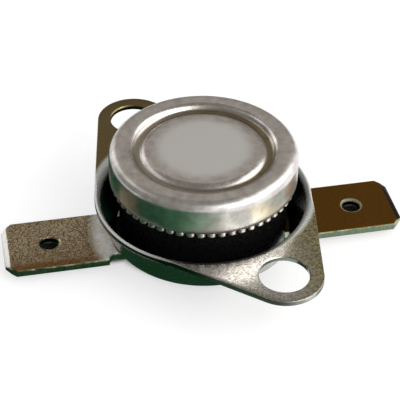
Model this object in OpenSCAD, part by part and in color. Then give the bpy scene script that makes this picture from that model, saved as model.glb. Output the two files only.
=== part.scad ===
// Snap-action bimetal thermostat: a capped switch body with two push-on blades
// and a loose mounting flange. The +X axis runs along the blades, +Z towards the cap,
// and the origin is on the axis at the foot of the rivet heads.

/* [Terminals] */
// Width of the push-on blade
blade_w = 6.3; // [6.2:0.1:6.8]
// Thickness of the terminal sheet
terminal_t = 0.8; // [0.5:0.1:1]
// Distance from the axis to the blade's tip
blade_reach = 17.9; // [16:0.1:22]
// Length of the full-width blade
blade_len = 9; // [7:0.1:9.5]
// Width of the narrower neck that enters the base
neck_w = 5; // [4:0.1:5.1]
// Round corner where the neck meets the blade
neck_fillet = 0.6; // [0.2:0.05:0.65]
// Diameter of the detent hole in the blade
detent_d = 1.65; // [1.2:0.05:2.4]
// Distance from the blade's tip to the detent hole
detent_inset = 4.05; // [3:0.05:5]
// Corner chamfer at the blade's tip
tip_chamfer = 0.9; // [0.4:0.1:1.4]
// Length of the lead-in bevel at the tip
lead_in = 0.5; // [0.2:0.05:0.9]
// Depth of the lead-in bevel on each face
lead_in_depth = 0.22; // [0.1:0.02:0.3]

/* [Flange] */
// Distance between the two mounting holes
hole_spacing = 25.4; // [23:0.1:32]
// Diameter of the mounting holes
hole_d = 4.2; // [3:0.1:4.6]
// Radius of the rounded ear ends
ear_r = 3.3; // [2.8:0.1:4]
// Angle of the ears from the blades as the loose flange lies
ear_angle = 110; // [0:1:180]
// Thickness of the flange sheet
sheet_t = 0.5; // [0.3:0.05:0.8]
// Height of the flange, from the collar's foot to the ears' top
flange_h = 3.8; // [3:0.1:4.4]
// Slope of the collar's wall from upright
collar_slope = 22.5; // [15:0.5:27]
// Gap between the body and the collar's foot
collar_gap = 0.3; // [0.2:0.05:0.5]
// Width of the rim outside the collar's mouth
rim_w = 0.25; // [0.1:0.05:0.5]
// Inside radius of the bend between ears and collar
bend_r = 0.3; // [0.1:0.05:0.5]

/* [Cap] */
// Width of the body's shoulder, which the cap's rim is rolled under
shoulder_w = 0.35; // [0.25:0.05:0.6]
// Height of the cap
cap_h = 3.55; // [3.4:0.05:5]
// Thickness of the cap's sheet
cap_t = 0.35; // [0.3:0.05:0.45]
// Outer radius of the cap's top edge
cap_corner = 0.9; // [0.6:0.05:1]
// Drop of the centre disc below the cap's top
centre_drop = 0.2; // [0.1:0.02:0.25]
// Depth of the ring groove
groove_depth = 0.55; // [0.45:0.05:0.65]
// Half the width of the ring groove
groove_run = 0.95; // [0.75:0.05:1]
// Radius at the bottom of the ring groove
groove_r = 0.5; // [0.4:0.05:0.6]
// Distance of the groove inside the snap disc's edge
groove_inset = 0.65; // [0.55:0.05:0.75]
// Number of teeth on the rolled rim
tooth_count = 56; // [36:4:72]
// Height of the teeth
tooth_h = 0.55; // [0.3:0.05:0.7]
// Step from the cap's wall in to the teeth
tooth_step = 0.08; // [0.04:0.02:0.14]
// Taper of the teeth towards the rim
tooth_taper = 0.06; // [0.02:0.02:0.1]
// Depth of the gaps between the teeth
tooth_depth = 0.2; // [0.12:0.02:0.22]

/* [Body] */
// Diameter of the base below the cap
base_d = 14.9; // [13.5:0.1:16.5]
// Height of bare base between the terminals and the cap's rim
neck_h = 5.15; // [4.8:0.05:6]
// Wall around the contact chamber
chamber_wall = 1; // [0.8:0.05:1.1]
// Floor between the terminals and the contact chamber
floor_t = 1.4; // [1:0.1:1.6]
// Chamfer on the base's edges
base_chamfer = 0.3; // [0.1:0.05:0.5]
// Height of the disc seat above the base's top
seat_h = 1; // [0.9:0.05:1.2]
// Thickness of the guide's floor
guide_floor_t = 0.45; // [0.35:0.05:0.5]
// Radius of the guide's boss around the pin
guide_boss_r = 1.8; // [1.4:0.1:2.4]
// Length of the guide's boss below the base's top
guide_boss_len = 0.8; // [0.3:0.1:0.9]

/* [Switch] */
// Distance of the snap disc's edge inside the base's wall
disc_inset = 1.1; // [0.95:0.05:1.4]
// Thickness of the snap disc
disc_t = 0.2; // [0.15:0.01:0.2]
// Height of the snap disc's dome
disc_dome = 0.35; // [0.25:0.01:0.36]
// Diameter of the push pin
pin_d = 1.8; // [1.4:0.1:2]
// Travel of the push pin when the disc snaps
pin_travel = 0.45; // [0.35:0.01:0.5]
// Diameter of the pin's blunt tip
pin_tip_d = 0.7; // [0.4:0.1:0.9]
// Length of the pin's tapered tip
pin_tip_len = 0.5; // [0.3:0.1:0.8]
// Distance from the axis to each rivet
rivet_x = 4.5; // [4.4:0.05:4.6]
// Diameter of the rivets
rivet_d = 1.6; // [1.2:0.1:1.8]
// Diameter of the rivet heads under the terminals
rivet_head_d = 3.4; // [2.8:0.1:4.4]
// Height of the rivet heads under the terminals
rivet_head_h = 0.7; // [0.5:0.05:1]
// Diameter of the closed rivet ends in the chamber
rivet_end_d = 2.3; // [2.1:0.1:2.3]
// Height of the closed rivet ends in the chamber
rivet_end_h = 0.5; // [0.3:0.05:0.6]
// Height of the contact arm above the chamber floor
arm_rise = 1.2; // [1.1:0.05:1.4]
// Thickness of the contact arm
arm_t = 0.2; // [0.12:0.01:0.25]
// Width of the contact arm
arm_w = 1.9; // [1.7:0.1:2]
// Distance from the axis to the contacts
contact_x = 2.15; // [2.1:0.05:2.2]
// Diameter of the contact heads
contact_d = 1.7; // [1.3:0.1:1.8]
// Height of each contact head
contact_h = 0.45; // [0.3:0.05:0.5]
// Diameter of the contacts' shanks
shank_d = 0.9; // [0.6:0.1:1]
// Height of the closed ends of the contacts' shanks
shank_end_h = 0.15; // [0.1:0.01:0.2]
// Thickness of the fixed contact's strip
strip_t = 0.6; // [0.4:0.05:0.7]

/* [Clearances] */
// Gap between a rivet and its holes
rivet_clear = 0.05; // [0.02:0.01:0.1]
// Gap between a terminal's neck and its slot
slot_clear = 0.1; // [0.05:0.01:0.2]
// Gap between the base and the rim rolled under its shoulder
lip_clear = 0.05; // [0.02:0.01:0.1]
// Gap between the cap's wall and the pieces inside it
cap_clear = 0.05; // [0.02:0.01:0.1]
// Radial gap between the pin and its guide
pin_clear = 0.05; // [0.02:0.01:0.1]
// Gap around the snap disc's edge
disc_side_clear = 0.2; // [0.15:0.01:0.25]
// Gap between the snap disc's edge and the groove above it
disc_top_clear = 0.1; // [0.08:0.01:0.14]

/* [Hidden] */

$fn = 96;
arc_steps = 8;
// Depth of the flange's straight edges inside the arcs they join
edge_sink = 0.005;
cut = 1;

// Levels, from the foot upwards
terminal_z = rivet_head_h;
terminal_top = terminal_z + terminal_t;
flange_top = terminal_top + flange_h;
cap_rim = terminal_top + neck_h;
cap_top = cap_rim + cap_h;
ceiling = cap_top - cap_t;
shoulder_z = cap_rim + cap_t;
groove_z = cap_top - groove_depth;
seat_z = groove_z - cap_t - disc_top_clear - disc_t;
base_top = seat_z - seat_h;
chamber_floor = terminal_top + floor_t;
arm_z = chamber_floor + arm_rise;
arm_top = arm_z + arm_t;
contact_face = arm_top + contact_h;
strip_z = contact_face + contact_h;
strip_top = strip_z + strip_t;
pin_top = seat_z - disc_dome + pin_travel;

// Radii
base_r = base_d / 2;
chamber_r = base_r - chamber_wall;
shoulder_r = base_r + shoulder_w;
lip_r = base_r + lip_clear;
cap_r = shoulder_r + cap_clear + cap_t;
disc_r = base_r - disc_inset;
pocket_r = disc_r + disc_side_clear;
ledge_r = disc_r - groove_inset + groove_r;
groove_mid = disc_r - groove_inset;
boss_r = rivet_end_d / 2;

// Points along an arc about a centre, from one angle to another
function arc(centre, radius, start, end) =
    [for (i = [0 : arc_steps])
        let (a = start + (end - start) * i / arc_steps)
        centre + radius * [cos(a), sin(a)]];

// Sweep of the two tangent arcs that climb a rise over a run, and the sum of their radii
function climb_angle(rise, run) = 2 * atan(rise / run);
function climb_radii(rise, run) = run / sin(climb_angle(rise, run));

// A flat strip with round ends, between two places on the X axis
module round_strip(x1, x2, width) {
    translate([x1, 0]) circle(d = width);
    translate([x2, 0]) circle(d = width);
    translate([x1, -width / 2]) square([x2 - x1, width]);
}

// Section of the cap's sheet: top face with its groove, wall, rolled rim and underside
module cap_section() {
    centre_z = cap_top - centre_drop;
    centre_rise = groove_depth - centre_drop;
    centre_sweep = climb_angle(centre_rise, groove_run);
    crest_sweep = climb_angle(groove_depth, groove_run);
    centre_r = climb_radii(centre_rise, groove_run) - groove_r;
    crest_r = climb_radii(groove_depth, groove_run) - groove_r;
    groove_centre = [groove_mid, groove_z + groove_r];
    under_r = groove_r + cap_t;
    corner_centre = [cap_r - cap_corner, cap_top - cap_corner];
    under_crest = asin((groove_centre[1] - ceiling) / under_r);
    under_centre = asin((groove_centre[1] - centre_z + cap_t) / under_r);
    tooth_r = cap_r - tooth_step;
    polygon(concat(
        [[0, centre_z]],
        arc([groove_mid - groove_run, centre_z - centre_r], centre_r, 90, 90 - centre_sweep),
        arc(groove_centre, groove_r, 270 - centre_sweep, 270 + crest_sweep),
        arc([groove_mid + groove_run, cap_top - crest_r], crest_r, 90 + crest_sweep, 90),
        arc(corner_centre, cap_corner, 90, 0),
        [[cap_r, cap_rim + tooth_h],
         [tooth_r, cap_rim + tooth_h],
         [tooth_r - tooth_taper, cap_rim],
         [lip_r, cap_rim],
         [lip_r, shoulder_z],
         [cap_r - cap_t, shoulder_z]],
        arc(corner_centre, cap_corner - cap_t, 0, 90),
        arc(groove_centre, under_r, 360 - under_crest, 180 + under_centre),
        [[0, centre_z - cap_t]]
    ));
}

// Outline that keeps the teeth of the rim and cuts the gaps between them
module tooth_outline() {
    pitch = 360 / tooth_count;
    gap_r = cap_r - tooth_step - tooth_depth;
    corners = [[-0.36, gap_r], [-0.16, cap_r], [0.16, cap_r], [0.36, gap_r]];
    polygon([for (i = [0 : tooth_count - 1])
        for (c = corners)
            let (a = (i + c[0]) * pitch)
            c[1] * [cos(a), sin(a)]]);
}

module cap() {
    color([0.66, 0.65, 0.62]) difference() {
        rotate_extrude() cap_section();
        translate([0, 0, cap_rim - cut])
            linear_extrude(height = cut + tooth_h) difference() {
                circle(r = cap_r + cut);
                tooth_outline();
            }
    }
}

// Dome that snaps through when it is hot
module bimetal_disc() {
    dome_r = (disc_r * disc_r + disc_dome * disc_dome) / (2 * disc_dome);
    color([0.72, 0.68, 0.6]) rotate_extrude() intersection() {
        translate([0, seat_z + disc_dome - dome_r]) difference() {
            circle(r = dome_r + disc_t, $fn = 1440);
            circle(r = dome_r, $fn = 1440);
        }
        translate([0, seat_z - cut]) square([disc_r, disc_dome + disc_t + 2 * cut]);
    }
}

// Plate on the base that seats the disc's edge and guides the pin
module disc_guide() {
    bore_r = pin_d / 2 + pin_clear;
    floor_z = base_top + guide_floor_t;
    bevel = cap_corner - cap_t + cap_clear;
    color([0.25, 0.17, 0.12]) rotate_extrude() polygon([
        [bore_r, base_top - guide_boss_len],
        [guide_boss_r, base_top - guide_boss_len],
        [guide_boss_r, base_top],
        [shoulder_r, base_top],
        [shoulder_r, ceiling - bevel],
        [shoulder_r - bevel, ceiling],
        [pocket_r, ceiling],
        [pocket_r, seat_z],
        [ledge_r, seat_z],
        [ledge_r, floor_z],
        [bore_r, floor_z]
    ]);
}

module push_pin() {
    color([0.9, 0.89, 0.85]) rotate_extrude() polygon([
        [0, arm_top],
        [pin_tip_d / 2, arm_top],
        [pin_d / 2, arm_top + pin_tip_len],
        [pin_d / 2, pin_top],
        [0, pin_top]
    ]);
}

// Raised pad in the chamber, joined to the wall, that a rivet clamps a strip to
module rivet_pad(side, top) {
    pad_base = chamber_floor - floor_t / 2;
    translate([0, 0, pad_base]) linear_extrude(height = top - pad_base) {
        translate([side * rivet_x, 0]) circle(r = boss_r);
        intersection() {
            translate([side * (rivet_x + chamber_r) / 2, 0])
                square([chamber_r - rivet_x + chamber_wall, 2 * boss_r], center = true);
            circle(r = chamber_r + chamber_wall / 2);
        }
    }
}

module base() {
    color([0.05, 0.05, 0.05]) difference() {
        union() {
            rotate_extrude() polygon([
                [0, terminal_z],
                [base_r - base_chamfer, terminal_z],
                [base_r, terminal_z + base_chamfer],
                [base_r, shoulder_z],
                [shoulder_r, shoulder_z],
                [shoulder_r, base_top],
                [chamber_r, base_top],
                [chamber_r, chamber_floor],
                [0, chamber_floor]
            ]);
            rivet_pad(-1, arm_z);
            rivet_pad(1, strip_z);
        }
        for (side = [-1, 1]) {
            translate([side * rivet_x, 0, terminal_z - cut])
                cylinder(d = rivet_d + 2 * rivet_clear, h = strip_top);
            rotate([0, 0, side > 0 ? 0 : 180]) translate([0, 0, terminal_z - cut])
                linear_extrude(height = terminal_t + cut)
                    round_strip(rivet_x, blade_reach, neck_w + 2 * slot_clear);
        }
    }
}

// Flat shape of a terminal: round foot, neck and blade, drawn towards +X
module terminal_outline() {
    blade_x = blade_reach - blade_len;
    half = blade_w / 2;
    difference() {
        union() {
            round_strip(rivet_x, blade_x, neck_w);
            polygon([
                [blade_x, -half],
                [blade_reach - tip_chamfer, -half],
                [blade_reach, -half + tip_chamfer],
                [blade_reach, half - tip_chamfer],
                [blade_reach - tip_chamfer, half],
                [blade_x, half]
            ]);
            for (side = [-1, 1]) neck_corner(blade_x, side);
        }
        translate([rivet_x, 0]) circle(d = rivet_d + 2 * rivet_clear);
        translate([blade_reach - detent_inset, 0]) circle(d = detent_d);
    }
}

// Round inside corner between the neck and the blade
module neck_corner(blade_x, side) {
    difference() {
        translate([blade_x - neck_fillet, side * neck_w / 2 - (side < 0 ? neck_fillet : 0)])
            square(neck_fillet);
        translate([blade_x - neck_fillet, side * (neck_w / 2 + neck_fillet)])
            circle(r = neck_fillet);
    }
}

// Wedge that cuts the lead-in bevel on the upper face of a blade
module lead_in_wedge() {
    slope = lead_in_depth / lead_in;
    rotate([90, 0, 0]) linear_extrude(height = blade_w + 2 * cut, center = true) polygon([
        [blade_reach - lead_in, 0],
        [blade_reach - lead_in, cut],
        [blade_reach + cut, cut],
        [blade_reach + cut, -slope * (lead_in + cut)]
    ]);
}

module terminal() {
    color([0.47, 0.43, 0.35]) difference() {
        translate([0, 0, terminal_z]) linear_extrude(height = terminal_t) terminal_outline();
        translate([0, 0, terminal_top]) lead_in_wedge();
        translate([0, 0, terminal_z]) mirror([0, 0, 1]) lead_in_wedge();
    }
}

module left_terminal() {
    rotate([0, 0, 180]) terminal();
}

module right_terminal() {
    terminal();
}

// Rivet from the head under the terminal to the closed end above its clamped strip
module rivet(side, clamp_z) {
    head_r = rivet_head_d / 2;
    end_r = rivet_end_d / 2;
    bevel = rivet_end_h / 2;
    color([0.62, 0.58, 0.48]) translate([side * rivet_x, 0, 0]) rotate_extrude() polygon([
        [0, 0],
        [head_r - bevel, 0],
        [head_r, bevel],
        [head_r, rivet_head_h],
        [rivet_d / 2, rivet_head_h],
        [rivet_d / 2, clamp_z],
        [end_r, clamp_z],
        [end_r, clamp_z + bevel],
        [end_r - bevel, clamp_z + rivet_end_h],
        [0, clamp_z + rivet_end_h]
    ]);
}

module left_rivet() {
    rivet(-1, arm_top);
}

module right_rivet() {
    rivet(1, strip_top);
}

// Leaf spring from the left rivet to the moving contact
module contact_arm() {
    color([0.75, 0.6, 0.35]) translate([0, 0, arm_z]) linear_extrude(height = arm_t)
        difference() {
            union() {
                round_strip(-rivet_x, contact_x, arm_w);
                translate([-rivet_x, 0]) circle(r = boss_r);
            }
            translate([-rivet_x, 0]) circle(d = rivet_d + 2 * rivet_clear);
            translate([contact_x, 0]) circle(d = shank_d);
        }
}

// Strip on the right rivet that holds the fixed contact above the moving one
module contact_strip() {
    color([0.75, 0.62, 0.3]) translate([0, 0, strip_z]) linear_extrude(height = strip_t)
        difference() {
            union() {
                round_strip(contact_x, rivet_x, contact_d);
                translate([rivet_x, 0]) circle(r = boss_r);
            }
            translate([rivet_x, 0]) circle(d = rivet_d + 2 * rivet_clear);
            translate([contact_x, 0]) circle(d = shank_d);
        }
}

// Contact rivet: head from z = 0 up, shank through a strip below it, closed end underneath
module contact_rivet(through) {
    bevel = contact_h / 4;
    shank_r = shank_d / 2;
    color([0.85, 0.85, 0.84]) rotate_extrude() polygon([
        [0, -through - shank_end_h],
        [shank_r + shank_end_h, -through - shank_end_h],
        [shank_r + shank_end_h, -through],
        [shank_r, -through],
        [shank_r, 0],
        [contact_d / 2, 0],
        [contact_d / 2, contact_h - bevel],
        [contact_d / 2 - bevel, contact_h],
        [0, contact_h]
    ]);
}

module moving_contact() {
    translate([contact_x, 0, arm_top]) contact_rivet(arm_t);
}

module fixed_contact() {
    translate([contact_x, 0, strip_z]) mirror([0, 0, 1]) contact_rivet(strip_t);
}

// Plan of the flange: a round rim and two ears joined by straight edges tangent to both
module flange_outline(rim_r) {
    half = hole_spacing / 2;
    lean = asin((rim_r - ear_r) / half);
    rim_point = (rim_r - edge_sink) * [sin(lean), cos(lean)];
    ear_point = [half, 0] + (ear_r - edge_sink) * [sin(lean), cos(lean)];
    corners = [rim_point, ear_point];
    circle(r = rim_r);
    for (side = [-1, 1]) translate([side * half, 0]) circle(r = ear_r);
    polygon(concat(
        [ear_point, rim_point],
        [for (p = corners) [-p[0], p[1]]],
        [-ear_point, -rim_point],
        [for (p = corners) [p[0], -p[1]]]
    ));
}

// Section of the flange's sheet as a revolved shape: collar wall, bend and flat
module flange_section(foot_r, reach) {
    outer_bend = bend_r + sheet_t;
    wall_w = sheet_t / cos(collar_slope);
    bend_x = foot_r + (flange_h - outer_bend) * tan(collar_slope) + outer_bend / cos(collar_slope);
    bend_centre = [bend_x, flange_top - outer_bend];
    polygon(concat(
        [[foot_r, terminal_top], [foot_r + wall_w, terminal_top]],
        arc(bend_centre, bend_r, 180 - collar_slope, 90),
        [[reach, flange_top - sheet_t], [reach, flange_top]],
        arc(bend_centre, outer_bend, 90, 180 - collar_slope)
    ));
}

module flange() {
    half = hole_spacing / 2;
    foot_r = base_r + collar_gap;
    rim_r = foot_r + flange_h * tan(collar_slope) + rim_w;
    color([0.6, 0.58, 0.52]) rotate([0, 0, ear_angle]) difference() {
        intersection() {
            rotate_extrude() flange_section(foot_r, half + ear_r + cut);
            translate([0, 0, terminal_top - cut]) linear_extrude(height = flange_h + 2 * cut)
                flange_outline(rim_r);
        }
        for (side = [-1, 1])
            translate([side * half, 0, flange_top - sheet_t - cut])
                cylinder(d = hole_d, h = sheet_t + 2 * cut);
    }
}

cap();
bimetal_disc();
disc_guide();
push_pin();
base();
contact_arm();
moving_contact();
contact_strip();
fixed_contact();
left_terminal();
right_terminal();
left_rivet();
right_rivet();
flange();
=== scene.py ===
# %% [markdown]
# # A snap-action bimetal thermostat
# A small round switch that opens when it gets hot. An aluminium cap holds a domed bimetal disc,
# a black moulded base holds the contacts, two flat blades take the wires, and a loose steel flange
# screws the cap against whatever it watches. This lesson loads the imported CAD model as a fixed
# frame, models the visible pieces again with soft edges, and gives each surface its finish.

# %% Load the frame
import math

import bmesh
import bpy
from mathutils import Matrix, Vector


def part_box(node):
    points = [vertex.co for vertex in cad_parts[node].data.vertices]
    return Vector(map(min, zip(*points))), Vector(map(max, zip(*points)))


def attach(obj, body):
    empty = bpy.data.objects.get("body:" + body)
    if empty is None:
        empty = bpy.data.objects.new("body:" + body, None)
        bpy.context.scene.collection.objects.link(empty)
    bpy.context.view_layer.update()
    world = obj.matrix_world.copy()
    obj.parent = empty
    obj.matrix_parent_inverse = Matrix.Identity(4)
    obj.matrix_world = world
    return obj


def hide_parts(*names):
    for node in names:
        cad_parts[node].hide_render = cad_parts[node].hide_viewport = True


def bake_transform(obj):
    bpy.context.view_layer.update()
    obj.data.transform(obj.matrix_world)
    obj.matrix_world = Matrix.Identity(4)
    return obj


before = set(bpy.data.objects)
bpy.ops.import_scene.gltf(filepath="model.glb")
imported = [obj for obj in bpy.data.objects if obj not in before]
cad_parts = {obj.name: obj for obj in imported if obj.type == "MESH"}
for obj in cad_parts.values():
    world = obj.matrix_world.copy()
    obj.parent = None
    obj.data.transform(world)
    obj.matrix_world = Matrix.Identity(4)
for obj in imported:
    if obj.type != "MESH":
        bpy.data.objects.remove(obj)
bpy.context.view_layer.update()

# %% [markdown]
# ## Levels and sizes
# Blender works in metres and the maker thinks in millimetres, so one factor joins the two.
# Levels are read from the boxes of the CAD nodes. Sizes that a box can't give, such as the depth
# of the cap's groove, are written once, in millimetres, beside the piece that needs them.

# %% Levels read from the frame
MM = 0.001


def level(node, end):
    """Height of a CAD node's underside (0) or top (1), in millimetres."""
    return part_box(node)[end].z / MM


cap_rim, cap_top = level("cap", 0), level("cap", 1)
blade_under, blade_top = level("right_terminal", 0), level("right_terminal", 1)
flange_foot, flange_top = level("flange", 0), level("flange", 1)
cap_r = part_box("cap")[1].x / MM
blade_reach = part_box("right_terminal")[1].x / MM
print(f"cap {cap_rim:.2f} to {cap_top:.2f} mm, blades reach {blade_reach:.2f} mm")

# %% [markdown]
# ## The camera
# The camera comes first, so that every later render can be compared with the photograph. Its
# place is given the way a photographer would say it: how far round, how high, how far away, and a
# slight tilt of the frame. The long lens keeps the ellipses of the cap as flat as they look there.

# %% Place the camera
CAMERA_AZIMUTH = math.radians(-11.751)
CAMERA_ELEVATION = math.radians(39.148)
CAMERA_ROLL = math.radians(0.595)
CAMERA_DISTANCE = 115.4
CAMERA_LENS = 117.883
AIM_RIGHT, AIM_UP = -0.271, -0.840

away = Vector((math.sin(CAMERA_AZIMUTH) * math.cos(CAMERA_ELEVATION),
               -math.cos(CAMERA_AZIMUTH) * math.cos(CAMERA_ELEVATION),
               math.sin(CAMERA_ELEVATION)))
level_right = Vector((math.cos(CAMERA_AZIMUTH), math.sin(CAMERA_AZIMUTH), 0))
level_up = away.cross(level_right)
aim = Vector((0, 0, flange_top)) + AIM_RIGHT * level_right + AIM_UP * level_up
right = math.cos(CAMERA_ROLL) * level_right + math.sin(CAMERA_ROLL) * level_up
up = math.cos(CAMERA_ROLL) * level_up - math.sin(CAMERA_ROLL) * level_right

camera = bpy.data.objects.new("camera", bpy.data.cameras.new("camera"))
camera.data.lens = CAMERA_LENS
camera.data.clip_start = 0.01
turn = Matrix((right, up, away)).transposed()
camera.matrix_world = Matrix.LocRotScale((aim + away * CAMERA_DISTANCE) * MM, turn, None)
bpy.context.scene.collection.objects.link(camera)
bpy.context.scene.camera = camera
print("camera at", [round(x / MM, 1) for x in camera.matrix_world.translation], "mm")

# %% [markdown]
# ## Helpers for turned and punched pieces
# Most pieces here are either turned about the Z axis or punched from sheet, so two helpers make
# nearly everything. The first spins a closed section round the axis. Spinning by hand, instead of
# with the Screw modifier, lets a piece change its radius with the angle, as the cap's teeth do.

# %% Turn a section about the Z axis
WELD = 1e-8


def arc(centre, radius, start, end, steps):
    """Points of an arc in the plane of a section, as (radius, height) pairs."""
    angles = [math.radians(start + (end - start) * i / steps) for i in range(steps + 1)]
    return [(centre[0] + radius * math.cos(a), centre[1] + radius * math.sin(a)) for a in angles]


def turned(section, segments, shape=None):
    """A closed section spun round Z. shape(radius, height, angle) may change a point's place."""
    bm = bmesh.new()
    rings = []
    for i in range(segments):
        angle = 2 * math.pi * i / segments
        ring = []
        for point in section:
            radius, height = shape(*point, angle) if shape else point
            ring.append(bm.verts.new((radius * math.cos(angle) * MM,
                                      radius * math.sin(angle) * MM, height * MM)))
        rings.append(ring)
    count = len(section)
    for i in range(segments):
        near, far = rings[i], rings[(i + 1) % segments]
        for k in range(count):
            following = (k + 1) % count
            bm.faces.new((near[k], far[k], far[following], near[following]))
    bmesh.ops.remove_doubles(bm, verts=bm.verts, dist=WELD)
    bmesh.ops.recalc_face_normals(bm, faces=bm.faces)
    return bm


# %% [markdown]
# The second helper makes a plate with soft edges from a flat outline and its holes. Each loop is
# stacked six times, and the two nearest to either face are drawn in a little, which gives the thin
# rounded edge that catches the light on real sheet metal. A Bevel modifier could do it, but it
# stumbles over the many short edges of a round hole. A limit keeps the point of a very sharp corner
# from being moved too far.

# %% Punch a plate from an outline
CORNER_LIMIT = 0.2


def drawn_in(loop, distance):
    """The loop moved towards its own material, to the left of its direction of travel."""
    moved = []
    for i, point in enumerate(loop):
        before, after = Vector(loop[i - 1]), Vector(loop[(i + 1) % len(loop)])
        here = Vector(point)
        arrive, leave = (here - before).normalized(), (after - here).normalized()
        sideways = Vector((-arrive.y - leave.y, arrive.x + leave.x))
        sideways /= max(sideways.length_squared / 2, CORNER_LIMIT)
        moved.append(here + sideways * distance)
    return moved


def plate(loops, softs, low, high):
    """A sheet between two heights. The first loop runs anticlockwise, the holes clockwise."""
    bm = bmesh.new()
    faces = {low: [], high: []}
    for loop, soft in zip(loops, softs):
        corner = soft * (1 - math.sqrt(0.5))
        stack = [(low, soft), (low + corner, corner), (low + soft, 0),
                 (high - soft, 0), (high - corner, corner), (high, soft)]
        rings = []
        for height, inset in stack:
            rings.append([bm.verts.new((x * MM, y * MM, height * MM))
                          for x, y in drawn_in(loop, inset)])
        for lower, upper in zip(rings, rings[1:]):
            for k in range(len(loop)):
                following = (k + 1) % len(loop)
                bm.faces.new((lower[k], lower[following], upper[following], upper[k]))
        for height, ring in ((low, rings[0]), (high, rings[-1])):
            faces[height] += [bm.edges.get((ring[k - 1], ring[k])) for k in range(len(ring))]
    for edges in faces.values():
        bmesh.ops.triangle_fill(bm, edges=edges, use_beauty=True)
    bmesh.ops.recalc_face_normals(bm, faces=bm.faces)
    return bm


# %% [markdown]
# The last helper turns a finished mesh into an object that belongs to the frame. It rides a CAD
# body and stands for the CAD nodes of the same piece. Faces are smooth, and edges sharper than the
# given angle are marked so that flats stay flat. A piece that bends across a joint is given no body
# here.

# %% Add a finished piece to the frame
SHARP_EDGE = 35


def add_piece(name, bm, body, slot, *nodes, sharp=SHARP_EDGE):
    """The mesh as a piece of the frame, in place of the CAD nodes named last."""
    mesh = bpy.data.meshes.new(name)
    bm.to_mesh(mesh)
    bm.free()
    mesh.shade_smooth()
    mesh.set_sharp_from_angle(angle=math.radians(sharp))
    piece = bpy.data.objects.new(name, mesh)
    bpy.context.scene.collection.objects.link(piece)
    if body:
        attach(piece, body)
    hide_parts(*nodes)
    print(f"{name}: {len(mesh.polygons)} faces on body {body}")
    return piece


# %% [markdown]
# ## The cap
# The real cap is drawn from aluminium sheet in one press: a flat shoulder, a ring groove that
# presses on the edge of the disc inside, a rounded corner, and a wall whose lower rim is crimped
# under the base by a toothed tool. The section below follows the sheet from the centre outwards
# and back along its underside.

# %% Draw the cap's section
CAP_SHEET = 0.35
CAP_CORNER = 0.9
CENTRE_DROP = 0.2
GROOVE_DEPTH, GROOVE_RUN = 0.55, 0.95
GROOVE_MIDDLE, GROOVE_BEND = 5.7, 0.5
TOOTH_HEIGHT, TOOTH_STEP, TOOTH_TAPER = 0.55, 0.08, 0.06
TOOTH_ROWS, ROWS_TOP, ROWS_FOOT = 8, 0.03, 0.05
EDGE_IN, EDGE_DOWN, TOE_IN = 0.03, 0.02, 0.1
CENTRE_RINGS, WALL_RING = (0, 2.5, 4.4), 0.5
LIP_R = 7.5
RIM_SOFT = 0.08


def climb(rise, run, bend):
    """Sweep and second radius of the two arcs that climb a rise over a run."""
    sweep = 2 * math.atan(rise / run)
    return math.degrees(sweep), run / math.sin(sweep) - bend


centre_z = cap_top - CENTRE_DROP
centre_sweep, centre_bend = climb(GROOVE_DEPTH - CENTRE_DROP, GROOVE_RUN, GROOVE_BEND)
crest_sweep, crest_bend = climb(GROOVE_DEPTH, GROOVE_RUN, GROOVE_BEND)
groove = (GROOVE_MIDDLE, cap_top - GROOVE_DEPTH + GROOVE_BEND)
corner = (cap_r - CAP_CORNER, cap_top - CAP_CORNER)
under_bend = GROOVE_BEND + CAP_SHEET
ceiling = cap_top - CAP_SHEET
under_crest = math.degrees(math.asin((groove[1] - ceiling) / under_bend))
under_centre = math.degrees(math.asin((groove[1] - centre_z + CAP_SHEET) / under_bend))
tooth_top = cap_rim + TOOTH_HEIGHT
tooth_r = cap_r - TOOTH_STEP
foot_r = tooth_r - TOOTH_TAPER
toe_r = foot_r - TOE_IN
row_h = (TOOTH_HEIGHT - ROWS_TOP - ROWS_FOOT) / TOOTH_ROWS
shelf = cap_rim + CAP_SHEET

cap_section = (
    [(ring_r, centre_z) for ring_r in CENTRE_RINGS]
    + arc((GROOVE_MIDDLE - GROOVE_RUN, centre_z - centre_bend), centre_bend,
          90, 90 - centre_sweep, 8)
    + arc(groove, GROOVE_BEND, 270 - centre_sweep, 270 + crest_sweep, 10)
    + arc((GROOVE_MIDDLE + GROOVE_RUN, cap_top - crest_bend), crest_bend,
          90 + crest_sweep, 90, 8)
    + arc(corner, CAP_CORNER, 90, 0, 14)
    + [(cap_r, tooth_top + WALL_RING), (cap_r, tooth_top + RIM_SOFT)]
    + [(cap_r - EDGE_IN, tooth_top + EDGE_DOWN), (tooth_r, tooth_top)]
    + [(tooth_r - TOOTH_TAPER * i / TOOTH_ROWS, tooth_top - ROWS_TOP - row_h * i)
       for i in range(TOOTH_ROWS + 1)]
    + [(foot_r - EDGE_IN, cap_rim + EDGE_DOWN), (toe_r, cap_rim)]
    + [(LIP_R + RIM_SOFT, cap_rim), (LIP_R, cap_rim + RIM_SOFT), (LIP_R, shelf)]
    + [(cap_r - CAP_SHEET, shelf)]
    + arc(corner, CAP_CORNER - CAP_SHEET, 0, 90, 5)
    + arc(groove, under_bend, 360 - under_crest, 180 + under_centre, 8)
    + [(0, centre_z - CAP_SHEET)]
)

# %% [markdown]
# The crimping tool leaves 56 small teeth round the rim, with a dark gap beside each. Every tooth is
# rounded like a bead, fullest near its foot, so one side of it is bright under a side light. The
# teeth are made by pulling the points of the rim inwards as the section is spun, so no separate
# teeth have to be joined on.

# %% Spin the cap with its toothed rim
TOOTH_COUNT, TOOTH_DEPTH = 56, 0.25
TOOTH_HALF = 0.45
FULLEST, SLOPE_ABOVE, CURVE_BELOW = 0.15, 0.5, 10
STEPS_PER_TOOTH = 14
HAIR = 0.001


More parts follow.
